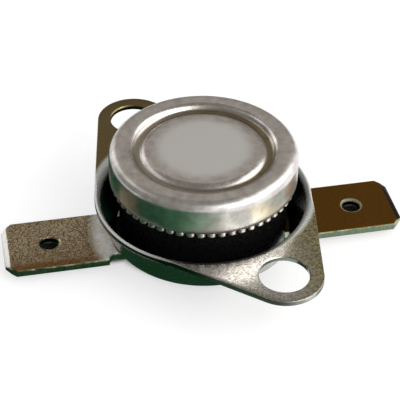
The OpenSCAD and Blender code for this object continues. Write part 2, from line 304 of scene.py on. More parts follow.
def toothed(radius, height, angle):
    """Pulls the rim's outer face in between the teeth, and rounds each tooth like a bead."""
    if radius < toe_r - HAIR or height > tooth_top + HAIR:
        return radius, height
    turn = angle / (2 * math.pi) * TOOTH_COUNT
    aside = abs((turn + 0.5) % 1 - 0.5) / TOOTH_HALF
    above = (height - cap_rim) / TOOTH_HEIGHT - FULLEST
    crown = aside ** 3 + (SLOPE_ABOVE * above if above > 0 else CURVE_BELOW * above ** 2)
    return radius - TOOTH_DEPTH * min(1, crown), height


cap = add_piece("cap_shell", turned(cap_section, TOOTH_COUNT * STEPS_PER_TOOTH, toothed),
                "housing", "cap", "cap", sharp=28)

# %% [markdown]
# ## The flange
# One steel sheet, punched and drawn: two flat ears with a screw hole each, and a round collar that
# tapers down to rest on the blades. The outline is one function of the angle, so the sheet can be
# modelled as rays that start at the collar's foot, run up the wall, through the bend and out to
# the edge. Every ray has the same number of points, which keeps the bend smooth all the way round.

# %% Outline of the flange
HOLE_SPACING, HOLE_R = 25.4, 2.1
EAR_R, EAR_TURN = 3.3, math.radians(110)
SHEET = 0.5
COLLAR_FOOT_R, COLLAR_SLOPE = 7.75, math.radians(22.5)
COLLAR_RIM_W, BEND_R = 0.25, 0.3
FLANGE_SOFT, RIM_ROUND = 0.08, 0.2

collar_h = flange_top - flange_foot
rim_r = COLLAR_FOOT_R + collar_h * math.tan(COLLAR_SLOPE) + COLLAR_RIM_W
tangent_turn = math.pi / 2 - math.asin((rim_r - EAR_R) / (HOLE_SPACING / 2))
ear_touch = math.atan2(EAR_R * math.sin(tangent_turn),
                       HOLE_SPACING / 2 + EAR_R * math.cos(tangent_turn))


def flange_reach(angle):
    """Distance from the axis to the flange's edge, in the direction of an angle."""
    off = abs((angle - EAR_TURN + math.pi / 2) % math.pi - math.pi / 2)
    if off >= tangent_turn:
        return rim_r
    if off >= ear_touch:
        return rim_r / math.cos(tangent_turn - off)
    half = HOLE_SPACING / 2
    return half * math.cos(off) + math.sqrt(EAR_R ** 2 - (half * math.sin(off)) ** 2)


print(f"flange rim radius {rim_r:.2f} mm, ear tip {flange_reach(EAR_TURN):.2f} mm")

# %% Build the flange ray by ray
FLANGE_RAYS = 900
WALL_STEPS, BEND_STEPS, FLAT_STEPS = 5, 10, 6
EDGE_TURN, EDGE_STEPS, ROUND_FADE = 68, 3, 0.4

outer_bend = BEND_R + SHEET
bend_x = (COLLAR_FOOT_R + (collar_h - outer_bend) * math.tan(COLLAR_SLOPE)
          + outer_bend / math.cos(COLLAR_SLOPE))
bend_centre = (bend_x, flange_top - outer_bend)
wall_turn = 180 - math.degrees(COLLAR_SLOPE)


def face_line(foot_r, bend, reach):
    """One face of the sheet, from the collar's foot out to a reach, as (radius, height)."""
    into_bend = arc(bend_centre, bend, wall_turn, wall_turn, 1)[0]
    foot = (foot_r + FLANGE_SOFT * math.tan(COLLAR_SLOPE), flange_foot + FLANGE_SOFT)
    wall = [(foot[0] + (into_bend[0] - foot[0]) * i / WALL_STEPS,
             foot[1] + (into_bend[1] - foot[1]) * i / WALL_STEPS) for i in range(WALL_STEPS)]
    stop = math.degrees(math.acos(max(-math.cos(COLLAR_SLOPE), min(0, (reach - bend_x) / bend))))
    curve = arc(bend_centre, bend, wall_turn, stop, BEND_STEPS)
    flat = max(0, reach - bend_x)
    return wall + curve + [(curve[-1][0] + flat * i / FLAT_STEPS, curve[-1][1])
                           for i in range(1, FLAT_STEPS + 1)]


def flange_ray(angle):
    """The closed section of the sheet along one ray. The collar's rim is rounder than the ears."""
    reach = flange_reach(angle)
    rounder = max(0, 1 - (reach - rim_r) / ROUND_FADE)
    soft = FLANGE_SOFT + (RIM_ROUND - FLANGE_SOFT) * rounder
    wall_w = SHEET / math.cos(COLLAR_SLOPE)
    upper = face_line(COLLAR_FOOT_R, outer_bend, reach - soft)
    lower = face_line(COLLAR_FOOT_R + wall_w, BEND_R, reach - soft)
    high, low = upper[-1][1], lower[-1][1]
    edge = (arc((reach - soft, high - soft), soft, EDGE_TURN, 0, EDGE_STEPS)
            + arc((reach - soft, low + soft), soft, 0, -EDGE_TURN, EDGE_STEPS))
    foot = [(COLLAR_FOOT_R + wall_w - FLANGE_SOFT, flange_foot),
            (COLLAR_FOOT_R + FLANGE_SOFT, flange_foot)]
    return upper + edge + lower[::-1] + foot


flange_mesh = bmesh.new()
rays = []
for i in range(FLANGE_RAYS):
    angle = 2 * math.pi * i / FLANGE_RAYS
    rays.append([flange_mesh.verts.new((r * math.cos(angle) * MM, r * math.sin(angle) * MM, z * MM))
                 for r, z in flange_ray(angle)])
for i, ray in enumerate(rays):
    other = rays[(i + 1) % FLANGE_RAYS]
    for k in range(len(ray)):
        flange_mesh.faces.new((ray[k - 1], ray[k], other[k], other[k - 1]))
bmesh.ops.remove_doubles(flange_mesh, verts=flange_mesh.verts, dist=WELD)
bmesh.ops.recalc_face_normals(flange_mesh, faces=flange_mesh.faces)
flange = add_piece("mounting_flange", flange_mesh, "flange", "flange", "flange")

# %% [markdown]
# The two screw holes are cut with the Boolean modifier. The cutter is a small turned pin with a
# flared head and foot, so the cut leaves the rounded lip of a punched hole and needs no bevel
# afterwards. The modifier is applied at once, and the cutters are deleted.

# %% Cut the screw holes
HOLE_LIP, HOLE_STEPS = 0.09, 72
CUT_PAST = 0.3


def cut_with(piece, cutter_mesh, place):
    """Cuts a mesh out of a piece at a place."""
    mesh = bpy.data.meshes.new("cutter")
    cutter_mesh.to_mesh(mesh)
    cutter_mesh.free()
    cutter = bpy.data.objects.new("cutter", mesh)
    cutter.location = place
    bpy.context.scene.collection.objects.link(cutter)
    cut = piece.modifiers.new("hole", "BOOLEAN")
    cut.object, cut.operation, cut.solver = cutter, "DIFFERENCE", "EXACT"
    bpy.context.view_layer.update()
    done = piece.evaluated_get(bpy.context.evaluated_depsgraph_get())
    fresh = bpy.data.meshes.new_from_object(done)
    piece.modifiers.clear()
    piece.data = fresh
    bpy.data.objects.remove(cutter)


low, high = flange_top - SHEET, flange_top
flare_r = HOLE_R + HOLE_LIP + CUT_PAST
pin_section = [(0, low - CUT_PAST), (flare_r, low - CUT_PAST), (HOLE_R, low + HOLE_LIP),
               (HOLE_R, high - HOLE_LIP), (flare_r, high + CUT_PAST), (0, high + CUT_PAST)]
for side in (-1, 1):
    place = Vector((math.cos(EAR_TURN), math.sin(EAR_TURN), 0)) * side * HOLE_SPACING / 2 * MM
    cut_with(flange, turned(pin_section, HOLE_STEPS), place)
flange.data.set_sharp_from_angle(angle=math.radians(SHARP_EDGE))
print("flange after cutting:", len(flange.data.polygons), "faces")

# %% [markdown]
# ## The terminals
# Each terminal is a stamped blade: a round foot under the base, a narrower neck with rounded inside
# corners, and a 6.3 mm blade with a detent hole, cut corners and a thinned tip that leads it into
# a push-on connector. The plate helper gives the soft edges, and the tip is thinned afterwards by
# moving its points towards the middle of the sheet.

# %% Outline of a terminal
BLADE_W, BLADE_LEN, NECK_W = 6.3, 9.0, 5.0
NECK_CORNER, TIP_CUT = 0.6, 0.9
DETENT_R, DETENT_INSET = 0.825, 4.05
RIVET_X, RIVET_HOLE_R = 4.5, 0.85
LEAD_IN, LEAD_IN_DEPTH = 0.5, 0.22
BLADE_SOFT, DETENT_LIP = 0.09, 0.2

blade_x = blade_reach - BLADE_LEN
half_w, half_neck = BLADE_W / 2, NECK_W / 2


def ring(x, radius, count):
    """A round hole's loop, which runs clockwise."""
    return [(x + radius * math.cos(a), -radius * math.sin(a))
            for a in (2 * math.pi * i / count for i in range(count))]


lower_edge = (
    arc((RIVET_X, 0), half_neck, 180, 270, 20)
    + arc((blade_x - NECK_CORNER, -half_neck - NECK_CORNER), NECK_CORNER, 90, 0, 8)
    + [(blade_x, -half_w), (blade_reach - TIP_CUT, -half_w), (blade_reach, -half_w + TIP_CUT)]
)
upper_edge = [(x, -y) for x, y in reversed(lower_edge[1:])]
terminal_outline = lower_edge + upper_edge

# %% Stamp the two terminals
def terminal(name, side):
    """One blade. The left one is turned half round."""
    bm = plate([terminal_outline, ring(RIVET_X, RIVET_HOLE_R, 32),
                ring(blade_reach - DETENT_INSET, DETENT_R, 40)],
               [BLADE_SOFT, BLADE_SOFT, DETENT_LIP], blade_under, blade_top)
    start = (blade_reach - LEAD_IN) * MM
    bmesh.ops.bisect_plane(bm, geom=bm.verts[:] + bm.edges[:] + bm.faces[:],
                           plane_co=(start, 0, 0), plane_no=(1, 0, 0))
    middle = (blade_under + blade_top) / 2 * MM
    for vert in bm.verts:
        past = max(0, (vert.co.x - start) / (LEAD_IN * MM))
        keep = 1 - past * LEAD_IN_DEPTH / ((blade_top - blade_under) / 2)
        vert.co.z = middle + (vert.co.z - middle) * keep
    if side < 0:
        bmesh.ops.rotate(bm, verts=bm.verts, matrix=Matrix.Rotation(math.pi, 3, "Z"))
    return add_piece(name, bm, "housing", "terminal", f"{name}_terminal", sharp=15)


left_blade = terminal("left", -1)
right_blade = terminal("right", 1)

# %% [markdown]
# ## The rivets
# A rivet under each terminal clamps the blade, the base and an inner strip together: the spring arm
# on the left, the contact strip on the right. Its turned head is all that shows, from below.

# %% Turn the rivets
RIVET_R, RIVET_HEAD_R, RIVET_HEAD_H = 0.8, 1.7, 0.7
RIVET_END_R, RIVET_END_H = 1.15, 0.5
RIVET_ROUND, ROUND_STEPS = 0.25, 5
DIMPLE_R, DIMPLE_EDGE_R, DIMPLE_H = 0.55, 0.75, 0.12


def rivet(name, side):
    """One rivet, with a dimple in its head."""
    end = level(name, 1)
    clamp = end - RIVET_END_H
    section = ([(0, DIMPLE_H), (DIMPLE_R, DIMPLE_H), (DIMPLE_EDGE_R, 0)]
               + arc((RIVET_HEAD_R - RIVET_ROUND, RIVET_ROUND), RIVET_ROUND, 270, 360, ROUND_STEPS)
               + [(RIVET_HEAD_R, RIVET_HEAD_H), (RIVET_R, RIVET_HEAD_H), (RIVET_R, clamp)]
               + [(RIVET_END_R, clamp)]
               + arc((RIVET_END_R - RIVET_ROUND, end - RIVET_ROUND), RIVET_ROUND,
                     0, 90, ROUND_STEPS)
               + [(0, end)])
    bm = turned(section, 48)
    bmesh.ops.translate(bm, verts=bm.verts, vec=(side * RIVET_X * MM, 0, 0))
    return add_piece(name + "_turned", bm, "housing", "rivet", name)


left_rivet, right_rivet = rivet("left_rivet", -1), rivet("right_rivet", 1)

# %% [markdown]
# ## The spring arm
# Inside the base a bronze leaf spring carries the moving contact. The left rivet clamps its round
# root, and the pin bends the rest down. A stiff arm on a hinge would lift its root through the
# rivet. Here the flat strip is cut across in short steps just past the rivet, which gives it points
# to bend at, and it is given no body.

# %% Punch the spring and cut it across
ARM_HALF_W, ARM_SOFT = 0.95, 0.04
CONTACT_X, SHANK_R = 2.15, 0.45
FLEX_START, FLEX_END, FLEX_STEPS = -3.3, -1.9, 14

arm_under, arm_top = level("contact_arm", 0), level("contact_arm", 1)
root_turn = math.degrees(math.asin(ARM_HALF_W / RIVET_END_R))
arm_outline = (arc((CONTACT_X, 0), ARM_HALF_W, -90, 90, 24)
               + arc((-RIVET_X, 0), RIVET_END_R, root_turn, 360 - root_turn, 32))
arm_mesh = plate([arm_outline, ring(-RIVET_X, RIVET_HOLE_R, 32), ring(CONTACT_X, SHANK_R, 32)],
                 [ARM_SOFT] * 3, arm_under, arm_top)
for i in range(FLEX_STEPS + 1):
    cut_x = FLEX_START + (FLEX_END - FLEX_START) * i / FLEX_STEPS
    whole = arm_mesh.verts[:] + arm_mesh.edges[:] + arm_mesh.faces[:]
    bmesh.ops.bisect_plane(arm_mesh, geom=whole, plane_co=(cut_x * MM, 0, 0), plane_no=(1, 0, 0))
spring_arm = add_piece("spring_arm", arm_mesh, None, "spring_alloy", "contact_arm")
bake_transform(spring_arm)

# %% [markdown]
# ## Helpers for finishes
# A finish is a small tree of shader nodes. One helper adds a node and fills its sockets, either
# with a value or with a link from another node, so a tree reads from top to bottom. Colours are
# written as a paint program shows them, 0 to 255, and turned into the linear values Cycles needs.

# %% Add a node, write a colour
def put(tree, kind, sockets=None, **settings):
    """A new node with its settings and sockets filled in."""
    made = tree.nodes.new(kind)
    for name, value in settings.items():
        setattr(made, name, value)
    for name, value in (sockets or {}).items():
        if isinstance(value, bpy.types.NodeSocket):
            tree.links.new(value, made.inputs[name])
        else:
            made.inputs[name].default_value = value
    return made


def shade(red, green, blue):
    """A screen colour as linear red, green, blue and full alpha."""
    def linear(c):
        c /= 255
        return c / 12.92 if c <= 0.04045 else ((c + 0.055) / 1.055) ** 2.4
    return linear(red), linear(green), linear(blue), 1.0


def new_finish(name):
    """A material, its tree of nodes and its Principled shader."""
    material = bpy.data.materials.new(name)
    material.use_nodes = True
    return material, material.node_tree, material.node_tree.nodes["Principled BSDF"]


def feed(shader, **values):
    """Links values to a node's inputs. Base_Color stands for the input Base Color."""
    for name, value in values.items():
        shader.id_data.links.new(value, shader.inputs[name.replace("_", " ")])


# %% [markdown]
# Most of a finish is a mask: a value from 0 to 1 that says where a stain or a shine belongs. The
# next helpers measure a place on the piece, do sums with it, turn a distance into a soft step, and
# mix two colours or two values by the mask.

# %% Sums, soft steps and mixes
MIX_FACTOR = 0
VALUE_A, VALUE_B, VALUE_RESULT = 2, 3, 0
COLOUR_A, COLOUR_B, COLOUR_RESULT = 6, 7, 2


def position(tree):
    """X, Y and Z of a point in the piece's own coordinates, in metres."""
    place = put(tree, "ShaderNodeTexCoord").outputs["Object"]
    return put(tree, "ShaderNodeSeparateXYZ", {"Vector": place}).outputs


def maths(tree, operation, *values, clamp=False):
    """The result of one sum."""
    made = put(tree, "ShaderNodeMath", dict(enumerate(values)),
               operation=operation, use_clamp=clamp)
    return made.outputs[0]


def times(tree, first, second):
    return maths(tree, "MULTIPLY", first, second)


def remap(tree, value, low, high):
    """A 0 to 1 value stretched to run from low to high."""
    made = put(tree, "ShaderNodeMapRange", {"Value": value, "To Min": low, "To Max": high})
    return made.outputs["Result"]


def soft_step(tree, value, start, end):
    """0 at a start and 1 at an end, with a smooth change between them."""
    made = put(tree, "ShaderNodeMapRange", {"Value": value, "From Min": start, "From Max": end},
               interpolation_type="SMOOTHSTEP")
    return made.outputs["Result"]


def band(tree, value, start, end, origin=0):
    """A soft step between two distances from an origin, in millimetres."""
    return soft_step(tree, value, (origin + start) * MM, (origin + end) * MM)


def mix_colours(tree, factor, first, second):
    """The colour between two colours, by a factor that changes over the surface."""
    made = put(tree, "ShaderNodeMix", {MIX_FACTOR: factor, COLOUR_A: first, COLOUR_B: second},
               data_type="RGBA")
    return made.outputs[COLOUR_RESULT]


def mix_values(tree, factor, first, second):
    """The same for two values."""
    made = put(tree, "ShaderNodeMix", {MIX_FACTOR: factor, VALUE_A: first, VALUE_B: second},
               data_type="FLOAT")
    return made.outputs[VALUE_RESULT]


# %% [markdown]
# ## Effects that several finishes share
# Three effects come back on many pieces, so each is a node group that is built once and placed
# with its own values. Patches are a cloudy mask: with large cells it stains a surface, with small
# cells it is the grain of matt plating. The object's own coordinates carry it, in metres, so a
# cell of 0.2 mm is 0.2 mm on every piece.

# %% Group: patches
def new_group(name, inputs, outputs):
    """An empty node group, with its input and output nodes."""
    group = bpy.data.node_groups.new(name, "ShaderNodeTree")
    for sockets, way in ((inputs, "INPUT"), (outputs, "OUTPUT")):
        for socket in sockets:
            group.interface.new_socket(name=socket, in_out=way, socket_type="NodeSocketFloat")
    return group, group.nodes.new("NodeGroupInput"), group.nodes.new("NodeGroupOutput")


patches, given, result = new_group("patches", ["Cells per metre", "Contrast"], ["Mask"])
place = put(patches, "ShaderNodeTexCoord")
clouds = put(patches, "ShaderNodeTexNoise", {
    "Vector": place.outputs["Object"], "Scale": given.outputs["Cells per metre"],
    "Detail": 2.0, "Roughness": 0.55})
centred = maths(patches, "SUBTRACT", clouds.outputs["Fac"], 0.5)
pushed = maths(patches, "MULTIPLY_ADD", centred, given.outputs["Contrast"], 0.5, clamp=True)
patches.links.new(pushed, result.inputs["Mask"])

# %% [markdown]
# Spun lines are the fine rings that drawing and turning leave round an axis. They depend only on
# the distance from the axis and the height, so the group measures both and feeds them to a noise.
# It hands the two measures on, because many masks need them.

# %% Group: spun lines
spun_lines, given, result = new_group("spun_lines", ["Lines per metre"],
                                      ["Mask", "Radius", "Height"])
spot = position(spun_lines)
flat = put(spun_lines, "ShaderNodeCombineXYZ", {"X": spot["X"], "Y": spot["Y"]}).outputs[0]
radius = put(spun_lines, "ShaderNodeVectorMath", {0: flat}, operation="LENGTH").outputs["Value"]
on_section = put(spun_lines, "ShaderNodeCombineXYZ", {"X": radius, "Y": spot["Z"]}).outputs[0]
rings = put(spun_lines, "ShaderNodeTexNoise", {
    "Vector": on_section, "Scale": given.outputs["Lines per metre"], "Detail": 3.0})
for name, value in (("Mask", rings.outputs["Fac"]), ("Radius", radius), ("Height", spot["Z"])):
    spun_lines.links.new(value, result.inputs[name])

# %% [markdown]
# Shear lines run down the cut edge of a punched sheet, from the bright upper part that the punch
# sliced to the rough lower part that broke. The noise is squeezed along Z to draw them.

# %% Group: shear lines
shear_lines, given, result = new_group("shear_lines", ["Lines per metre"], ["Mask"])
place = put(shear_lines, "ShaderNodeTexCoord")
squeeze = put(shear_lines, "ShaderNodeMapping", {
    "Vector": place.outputs["Object"], "Scale": (1.0, 1.0, 0.08)})
strokes = put(shear_lines, "ShaderNodeTexNoise", {
    "Vector": squeeze.outputs[0], "Scale": given.outputs["Lines per metre"], "Detail": 3.0})
shear_lines.links.new(strokes.outputs["Fac"], result.inputs["Mask"])


# %% Place a group in a finish
def effect(tree, group, **values):
    """A placed group, with its inputs named in the same way."""
    made = put(tree, "ShaderNodeGroup", node_tree=group)
    for name, value in values.items():
        made.inputs[name.replace("_", " ")].default_value = value
    return made.outputs


def bumpy(tree, shader, height, depth):
    """Feeds a height into the shader's normal. depth is in millimetres."""
    bump = put(tree, "ShaderNodeBump", {"Height": height, "Strength": 1.0, "Distance": depth * MM})
    feed(shader, Normal=bump.outputs["Normal"])


# %% [markdown]
# ## Aluminium of the cap
# The top is satin with faint stains, its middle is evenly frosted, and the wall that the die ironed
# is more polished. All are one metal, so one material mixes them by radius and height instead of
# cutting the cap into pieces.

# %% Finish: drawn aluminium
SATIN = (-0.9, -0.35)
FROST = (4.7, 3.3)

aluminium, tree, shader = new_finish("drawn_aluminium")
spot = position(tree)
lines = effect(tree, spun_lines, Lines_per_metre=9000.0)
stains = effect(tree, patches, Cells_per_metre=1300.0, Contrast=2.4)
grain = effect(tree, patches, Cells_per_metre=7000.0, Contrast=2.2)
on_top = band(tree, lines["Height"], *SATIN, cap_top)
brushed = mix_colours(tree, stains["Mask"], shade(206, 198, 196), shade(240, 238, 234))
metal = mix_colours(tree, remap(tree, grain["Mask"], 0.0, 0.3), brushed, shade(190, 184, 178))
frosted = times(tree, on_top, band(tree, lines["Radius"], *FROST))
even = mix_colours(tree, frosted, metal, shade(206, 204, 200))
feed(shader, Metallic=remap(tree, frosted, 1.0, 0.62))
bumpy(tree, shader, lines["Mask"], 0.0015)
cap.data.materials.append(aluminium)

# %% [markdown]
# Painted shade browns the groove, more strongly on the right, and painted shade darkens the gaps
# between the teeth. The bends of the groove were rubbed by the tool, so they shine more than the
# flats. Masks by radius, height and angle put each where it belongs. The angle is counted in teeth,
# so the shade stays in the gaps.

# %% Painted shade in the groove and between the teeth, rubbed bends
GROOVE_SHADE_IN, GROOVE_SHADE_OUT = (-0.45, -0.1), (0.6, 0.15)
GROOVE_SHADE_X = (-6, 4)
GAP_SHADE_ASIDE, GAP_SHADE_BELOW = (0.35, 0.46), (0.02, -0.08)
BENDS_IN, BENDS_OUT = (4.5, 4.9), (6.8, 6.4)

in_groove = times(tree, band(tree, lines["Radius"], *GROOVE_SHADE_IN, GROOVE_MIDDLE),
                  band(tree, lines["Radius"], *GROOVE_SHADE_OUT, GROOVE_MIDDLE))
darker_right = remap(tree, band(tree, spot["X"], *GROOVE_SHADE_X), 0.6, 1.0)
# Painted shade: the groove is darker and browner, more so on the right.
painted_groove_shade = times(tree, times(tree, in_groove, darker_right), remap(tree, stains["Mask"], 0.7, 1.0))
groove_shaded = mix_colours(tree, painted_groove_shade, even, shade(124, 108, 66))
turned_by = maths(tree, "ARCTAN2", spot["Y"], spot["X"])
in_teeth = times(tree, turned_by, TOOTH_COUNT / (2 * math.pi))
off_tooth = maths(tree, "PINGPONG", in_teeth, 0.5)
# Painted shade: the gaps between the teeth are nearly black.
painted_gap_shade = times(tree, soft_step(tree, off_tooth, *GAP_SHADE_ASIDE),
              band(tree, lines["Height"], *GAP_SHADE_BELOW, tooth_top))
bends = times(tree, band(tree, lines["Radius"], *BENDS_IN), band(tree, lines["Radius"], *BENDS_OUT))
satin = mix_values(tree, bends, remap(tree, grain["Mask"], 0.30, 0.40), 0.27)
polish = remap(tree, lines["Mask"], 0.26, 0.34)
feed(shader, Base_Color=mix_colours(tree, painted_gap_shade, groove_shaded, shade(30, 30, 28)),
     Roughness=mix_values(tree, on_top, polish, satin))

# %% [markdown]
# ## Recipes for sheet metal
# Two recipes serve every punched sheet. Plating is two tones mixed by a fine grain and stained by
# larger patches. A cut edge shows bare metal with shear lines. The faces that stand upright are the
# cut edges, so a piece can be painted with both by looking at its normals.

# %% Recipes: plating and cut edges
UPRIGHT = 0.3


def plated(name, dark, light, cells, contrast, rough_low, rough_high, depth):
    """Matt plating. Returns the material, its tree, its shader and the tone to build on."""
    material, tree, shader = new_finish(name)
    shader.inputs["Metallic"].default_value = 1.0
    grain = effect(tree, patches, Cells_per_metre=cells, Contrast=contrast)
    stains = effect(tree, patches, Cells_per_metre=260.0, Contrast=2.2)
    clean = mix_colours(tree, grain["Mask"], dark, light)
    tone = mix_colours(tree, remap(tree, stains["Mask"], 0.0, 0.35), clean, dark)
    feed(shader, Roughness=remap(tree, grain["Mask"], rough_high, rough_low))
    bumpy(tree, shader, grain["Mask"], depth)
    return material, tree, shader, tone


def punched(name, dark, light, rough_low, rough_high):
    """The sheared edge of a sheet. Returns what plated returns."""
    material, tree, shader = new_finish(name)
    shader.inputs["Metallic"].default_value = 1.0
    lines = effect(tree, shear_lines, Lines_per_metre=6000.0)
    tone = mix_colours(tree, lines["Mask"], dark, light)
    feed(shader, Roughness=remap(tree, lines["Mask"], rough_low, rough_high))
    bumpy(tree, shader, lines["Mask"], 0.006)
    return material, tree, shader, tone


def paint_edges(piece, face_finish, edge_finish):
    """The faces that stand upright take the edge's finish, the rest the face's."""
    piece.data.materials.clear()
    piece.data.materials.append(face_finish)
    piece.data.materials.append(edge_finish)
    upright = 0
    for face in piece.data.polygons:
        face.material_index = int(abs(face.normal.z) < UPRIGHT)
        upright += face.material_index
    print(f"{piece.name}: {upright} edge faces")


# %% [markdown]
# ## Plated steel of the flange
# Dull zinc on rolled steel, with a fine bright and dark grain. It is yellower and darker towards
# the back, partly a tint and partly painted shade, and a speckled olive bloom covers the right
# side. A painted highlight lightens the collar's mouth at its sides, and painted shade darkens the
# collar's inside. That inside is a cone, so its mask measures how far a point stands off the cone.

# %% Finish: plated steel
BLOOM, YELLOWING_AND_SHADE = (3.5, 8), (-9, 5)
MOUTH_TOP, MOUTH_R, MOUTH_SIDE = (-0.8, -0.4), (10.2, 9.7), (3, 8)
INSIDE_SKIN, INSIDE_TOP = (0.3, 0.2), (-0.7, -1.1)

zinc, tree, shader, tone = plated("zinc_plated_steel", shade(146, 142, 130), shade(226, 225, 222),
                                  5200.0, 2.1, 0.20, 0.30, 0.005)
spot = position(tree)
from_axis = effect(tree, spun_lines)["Radius"]
speckle = effect(tree, patches, Cells_per_metre=4200.0, Contrast=4.0)
mossy = mix_colours(tree, speckle["Mask"], shade(74, 64, 22), shade(196, 182, 112))
to_right = remap(tree, band(tree, spot["X"], *BLOOM), 0.0, 0.65)
olive = mix_colours(tree, to_right, tone, mossy)
# Yellower and darker towards the back: partly a tint, partly painted shade.
to_back = remap(tree, band(tree, spot["Y"], *YELLOWING_AND_SHADE), 0.0, 0.9)
yellowed_and_shaded = mix_colours(tree, to_back, olive, shade(124, 104, 56))
# Painted highlight: the collar's mouth is lighter and less metallic at its sides.
to_side = band(tree, maths(tree, "ABSOLUTE", spot["X"]), *MOUTH_SIDE)
painted_mouth_highlight = times(tree, times(tree, band(tree, spot["Z"], *MOUTH_TOP, flange_top),
                          band(tree, from_axis, *MOUTH_R)), to_side)
mouth_highlighted = mix_colours(tree, painted_mouth_highlight, yellowed_and_shaded, shade(206, 208, 204))
lean = math.tan(COLLAR_SLOPE)
off_cone = maths(tree, "MULTIPLY_ADD", spot["Z"], -lean, from_axis)
# Painted shade: the collar's inside is nearly black.
painted_inside_shade = times(tree, band(tree, off_cone, *INSIDE_SKIN, COLLAR_FOOT_R - flange_foot * lean),
               band(tree, spot["Z"], *INSIDE_TOP, flange_top))
feed(shader, Base_Color=mix_colours(tree, painted_inside_shade, mouth_highlighted, shade(34, 33, 30)),
     Metallic=remap(tree, painted_mouth_highlight, 1.0, 0.3))

# %% [markdown]
# The cut edges of the flange are bare steel. Towards the left a painted dark green reflection
# darkens them, and the tip of the front ear stays bright.

# %% Finish: cut steel edges
DARK_EDGE_X = (5.8, 3.0)

steel_edge, tree, shader, tone = punched("bare_steel_edge", shade(150, 156, 148),
                                         shade(210, 214, 208), 0.12, 0.24)
# Painted reflection: dark green on the edges towards the left.
painted_dark_reflection = remap(tree, band(tree, position(tree)["X"], *DARK_EDGE_X), 0.0, 0.85)
feed(shader, Base_Color=mix_colours(tree, painted_dark_reflection, tone, shade(46, 58, 46)))
paint_edges(flange, zinc, steel_edge)

# %% [markdown]
# ## Tinned brass of the blades
# The blades are brass under thin matt tin, which has gone brown. The left one is the coarser of the
# two. It is warmer towards the front, toasted along its front edge and white on its thinned tip. A
# painted highlight lies beside the collar, and painted shade darkens it under the base.

# %% Finish: the left blade
SHADE_UNDER_BASE = (8.4, 8.2)
HIGHLIGHT_OUT, HIGHLIGHT_IN = (10.6, 9.3), (8.3, 8.5)
TOASTED_Y, TOASTED_X = (-2.2, -2.9), (-9.5, -12)
WARM_Y = (0.5, -2.8)
WHITE_TIP = (0.45, 0.4)

left_tin, tree, shader, tone = plated("tarnished_tin_coarse", shade(116, 92, 54),
                                      shade(240, 226, 198), 9000.0, 4.2, 0.30, 0.44, 0.008)
spot = position(tree)
from_axis = effect(tree, spun_lines)["Radius"]
patch_blotches = effect(tree, patches, Cells_per_metre=2200.0, Contrast=3.0)
to_front = remap(tree, band(tree, spot["Y"], *WARM_Y), 0.0, 0.35)
warmer = mix_colours(tree, to_front, tone, shade(112, 86, 34))
toasted = times(tree, band(tree, spot["Y"], *TOASTED_Y), band(tree, spot["X"], *TOASTED_X))
brown = mix_colours(tree, remap(tree, toasted, 0.0, 0.7), warmer, shade(132, 84, 28))
tip = band(tree, spot["X"], *WHITE_TIP, -blade_reach)
tipped = mix_colours(tree, tip, brown, shade(250, 250, 248))
# Painted highlight: a bright, blotchy patch beside the collar.
beside = times(tree, band(tree, from_axis, *HIGHLIGHT_OUT), band(tree, from_axis, *HIGHLIGHT_IN))
painted_highlight_patch = times(tree, beside, remap(tree, patch_blotches["Mask"], 0.7, 1.0))
patched = mix_colours(tree, painted_highlight_patch, tipped, shade(250, 251, 250))
# Painted shade: the blade is dark under the base.
painted_shade_under_base = band(tree, from_axis, *SHADE_UNDER_BASE)
feed(shader, Base_Color=mix_colours(tree, painted_shade_under_base, patched, shade(22, 19, 16)),
     Metallic=remap(tree, painted_highlight_patch, 1.0, 0.25))

# %% [markdown]
# The right blade is darker and smoother. A painted highlight rings its hole, drawn by a mask that
# measures the distance from the middle of the hole. Its thinned tip is painted nearly black, a
# painted dark reflection.

# %% Finish: the right blade
RING_HIGHLIGHT = (1.06, 0.95)
BLACK_TIP = (-0.55, -0.45)


def near_detent(tree, outer, inner):
    """0 beyond an outer distance from the middle of either detent hole, 1 within an inner one."""
    spot = position(tree)
    flat = put(tree, "ShaderNodeCombineXYZ", {
        "X": maths(tree, "ABSOLUTE", spot["X"]), "Y": spot["Y"]}).outputs[0]
    middle = ((blade_reach - DETENT_INSET) * MM, 0, 0)
    away = put(tree, "ShaderNodeVectorMath", {0: flat, 1: middle}, operation="DISTANCE")
    return band(tree, away.outputs["Value"], outer, inner)


right_tin, tree, shader, tone = plated("tarnished_tin_smooth", shade(105, 70, 17),
                                       shade(127, 89, 30), 5200.0, 1.6, 0.24, 0.30, 0.003)
# Painted reflection: the thinned tip is nearly black.
tip = band(tree, position(tree)["X"], *BLACK_TIP, blade_reach)
tipped = mix_colours(tree, tip, tone, shade(16, 11, 6))
# Painted highlight: a pale ring round the hole.
painted_ring_highlight = near_detent(tree, *RING_HIGHLIGHT)
ringed = mix_colours(tree, painted_ring_highlight, tipped, shade(150, 146, 124))
# Painted shade: the blade is dark under the base.
painted_shade_under_base = band(tree, effect(tree, spun_lines)["Radius"], *SHADE_UNDER_BASE)
feed(shader, Base_Color=mix_colours(tree, painted_shade_under_base, ringed, shade(44, 32, 14)),
     Metallic=remap(tree, painted_ring_highlight, 1.0, 0.4))

# %% [markdown]
# Both blades share one cut edge, brass with a trace of tin. A painted highlight runs along its top,
# broken by nicks, and painted shade darkens the walls of the two holes.

# %% Finish: cut brass edges
TOP_HIGHLIGHT = (-0.30, -0.12)
HOLE_SHADE = (1.05, 1.0)

brass_edge, tree, shader, tone = punched("tinned_brass_edge", shade(122, 142, 112),
                                         shade(192, 212, 184), 0.25, 0.45)
nicks = effect(tree, patches, Cells_per_metre=1500.0, Contrast=5.0)
# Painted highlight along the top of the edge, broken by nicks.
painted_top_highlight = times(tree, band(tree, position(tree)["Z"], *TOP_HIGHLIGHT, blade_top), nicks["Mask"])
top_highlighted = mix_colours(tree, painted_top_highlight, tone, shade(236, 226, 206))
